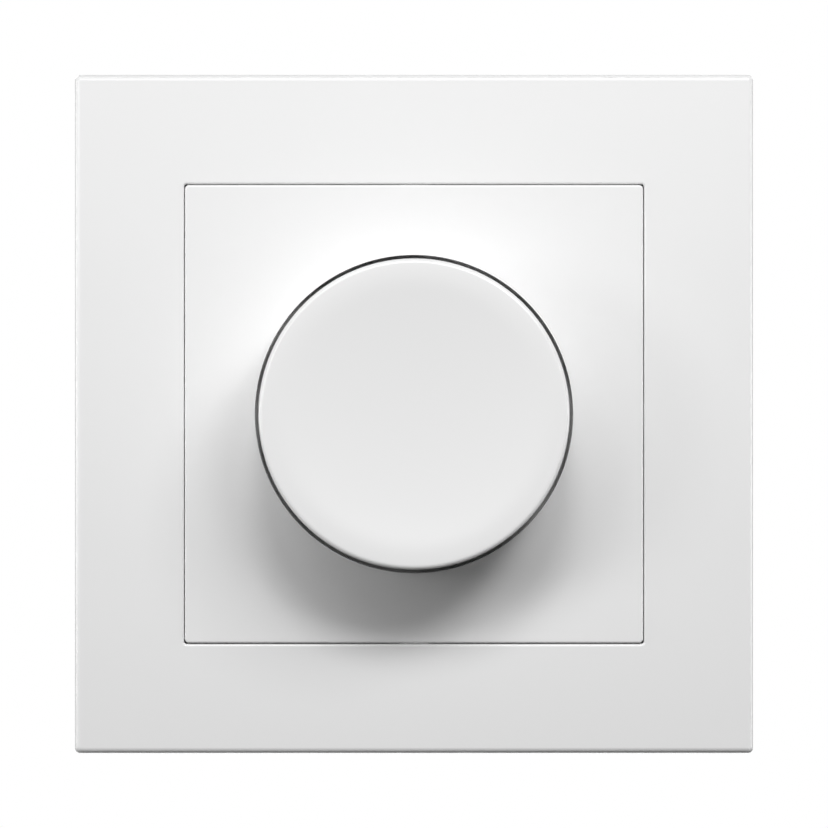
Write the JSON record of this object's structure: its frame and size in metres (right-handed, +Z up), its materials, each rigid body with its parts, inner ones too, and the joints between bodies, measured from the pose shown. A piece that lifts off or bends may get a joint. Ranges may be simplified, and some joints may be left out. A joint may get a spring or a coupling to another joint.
{
  "type": "rotary dimmer switch",
  "caption": "Square flush-mounted wall dimmer with a large round push-and-turn knob in a white centre plate and cover frame, on a wall-box insert.",
  "frame": {"origin": "the middle between the two box screws, on the wall's surface and on the knob's axis", "axes": "+Z up, +Y into the wall, the knob faces -Y and +X is to the right seen from the room"},
  "size_m": [0.0812, 0.0472, 0.0812],
  "materials": {
    "white_moulding": "pure white, high gloss, moulded",
    "white_moulding_inner": "natural white, satin",
    "grey_moulding": "dark grey, fine spark-eroded texture",
    "dark_moulding": "black, satin",
    "yellow_moulding": "yellow box, satin",
    "zinc_steel": "zinc-plated steel, satin",
    "bright_steel": "turned steel",
    "spring_steel": "spring steel, bright",
    "brass": "bare brass",
    "tinned_brass": "tin-plated",
    "aluminium": "mill finish",
    "can": "aluminium can in a dark sleeve",
    "copper": "enamelled copper wire",
    "ferrite": "powder-coated iron core",
    "laminate": "phenolic laminate",
    "board": "green circuit board",
    "blue_coating": "blue epoxy coating",
    "beige_coating": "beige lacquer"
  },
  "bodies": {
    "root": {"cover_frame": "white_moulding", "centre_plate": "white_moulding", "threaded_bush": "brass", "spindle_nut": "zinc_steel", "potentiometer_case": "zinc_steel", "resistance_track": "laminate", "track_pins": "tinned_brass", "support_ring": "zinc_steel", "ring_screws": "zinc_steel", "housing_front": "grey_moulding", "housing_rear": "grey_moulding", "housing_screws": "zinc_steel", "circuit_board": "board", "switch_case": "dark_moulding", "switch_base": "laminate", "fixed_contacts": "brass", "return_spring": "spring_steel", "terminal_block": "dark_moulding", "contact_bars": "brass", "heat_sink": "aluminium", "power_transistors": "dark_moulding", "thermal_fuse": "tinned_brass", "choke_core": "ferrite", "choke_winding": "copper", "film_capacitor": "yellow_moulding", "electrolytic_capacitor": "can", "varistor": "blue_coating", "controller_chip": "dark_moulding", "resistors": "beige_coating"},
    "push_plunger": {"switch_plunger": "white_moulding_inner", "contact_bridge": "brass"},
    "knob_spindle": {"spindle": "bright_steel", "knob": "white_moulding", "hub_clamp_ring": "spring_steel"},
    "wiper": {"wiper_rotor": "dark_moulding", "wiper_contact": "brass"},
    "left_claw": {"left_claw": "zinc_steel"},
    "right_claw": {"right_claw": "zinc_steel"},
    "left_claw_screw": {"left_claw_screw": "zinc_steel"},
    "right_claw_screw": {"right_claw_screw": "zinc_steel"},
    "terminal_screw_1": {"terminal_screw_1": "zinc_steel"},
    "terminal_clamp_1": {"terminal_clamp_1": "zinc_steel"},
    "terminal_screw_2": {"terminal_screw_2": "zinc_steel"},
    "terminal_clamp_2": {"terminal_clamp_2": "zinc_steel"},
    "terminal_screw_3": {"terminal_screw_3": "zinc_steel"},
    "terminal_clamp_3": {"terminal_clamp_3": "zinc_steel"}
  },
  "joints": [
    {"name": "knob_push", "type": "slide", "parent": "root", "child": "push_plunger", "axis": [0, 1, 0], "range_m": [0, 0.0015], "stiffness_N_per_m": 2000, "springref_m": -0.002, "deforming": ["return_spring"]},
    {"name": "knob_turn", "type": "hinge", "parent": "push_plunger", "child": "knob_spindle", "pos_m": [0, 0, 0], "axis": [0, 1, 0], "range_deg": [-145, 145]},
    {"name": "wiper_turn", "type": "hinge", "parent": "root", "child": "wiper", "pos_m": [0, 0, 0], "axis": [0, 1, 0], "range_deg": [-145, 145]},
    {"name": "left_claw_screw_turn", "type": "hinge", "parent": "root", "child": "left_claw_screw", "pos_m": [-0.022, 0, 0], "axis": [0, 1, 0], "range_deg": [0, 1080]},
    {"name": "left_claw_swing", "type": "hinge", "parent": "root", "child": "left_claw", "pos_m": [-0.0188, 0.00475, 0], "axis": [0, 0, 1], "range_deg": [0, 25]},
    {"name": "right_claw_screw_turn", "type": "hinge", "parent": "root", "child": "right_claw_screw", "pos_m": [0.022, 0, 0], "axis": [0, 1, 0], "range_deg": [0, 1080]},
    {"name": "right_claw_swing", "type": "hinge", "parent": "root", "child": "right_claw", "pos_m": [0.0188, 0.00475, 0], "axis": [0, 0, -1], "range_deg": [0, 25]},
    {"name": "terminal_clamp_1_slide", "type": "slide", "parent": "root", "child": "terminal_clamp_1", "axis": [0, 0, -1], "range_m": [0, 0.0026]},
    {"name": "terminal_screw_1_turn", "type": "hinge", "parent": "root", "child": "terminal_screw_1", "pos_m": [-0.009, 0.0135, -0.02], "axis": [0, 0, 1], "range_deg": [0, 1872.1]},
    {"name": "terminal_clamp_2_slide", "type": "slide", "parent": "root", "child": "terminal_clamp_2", "axis": [0, 0, -1], "range_m": [0, 0.0026]},
    {"name": "terminal_screw_2_turn", "type": "hinge", "parent": "root", "child": "terminal_screw_2", "pos_m": [0, 0.0135, -0.02], "axis": [0, 0, 1], "range_deg": [0, 1872.1]},
    {"name": "terminal_clamp_3_slide", "type": "slide", "parent": "root", "child": "terminal_clamp_3", "axis": [0, 0, -1], "range_m": [0, 0.0026]},
    {"name": "terminal_screw_3_turn", "type": "hinge", "parent": "root", "child": "terminal_screw_3", "pos_m": [0.009, 0.0135, -0.02], "axis": [0, 0, 1], "range_deg": [0, 1872.1]}
  ],
  "couplings": [
    {"joint": "wiper_turn", "follows": "knob_turn", "ratio": 1},
    {"joint": "left_claw_swing", "follows": "left_claw_screw_turn", "ratio": 0.023148},
    {"joint": "right_claw_swing", "follows": "right_claw_screw_turn", "ratio": 0.023148},
    {"joint": "terminal_screw_1_turn", "follows": "terminal_clamp_1_slide", "rad_per_m": 12566},
    {"joint": "terminal_screw_2_turn", "follows": "terminal_clamp_2_slide", "rad_per_m": 12566},
    {"joint": "terminal_screw_3_turn", "follows": "terminal_clamp_3_slide", "rad_per_m": 12566}
  ]
}
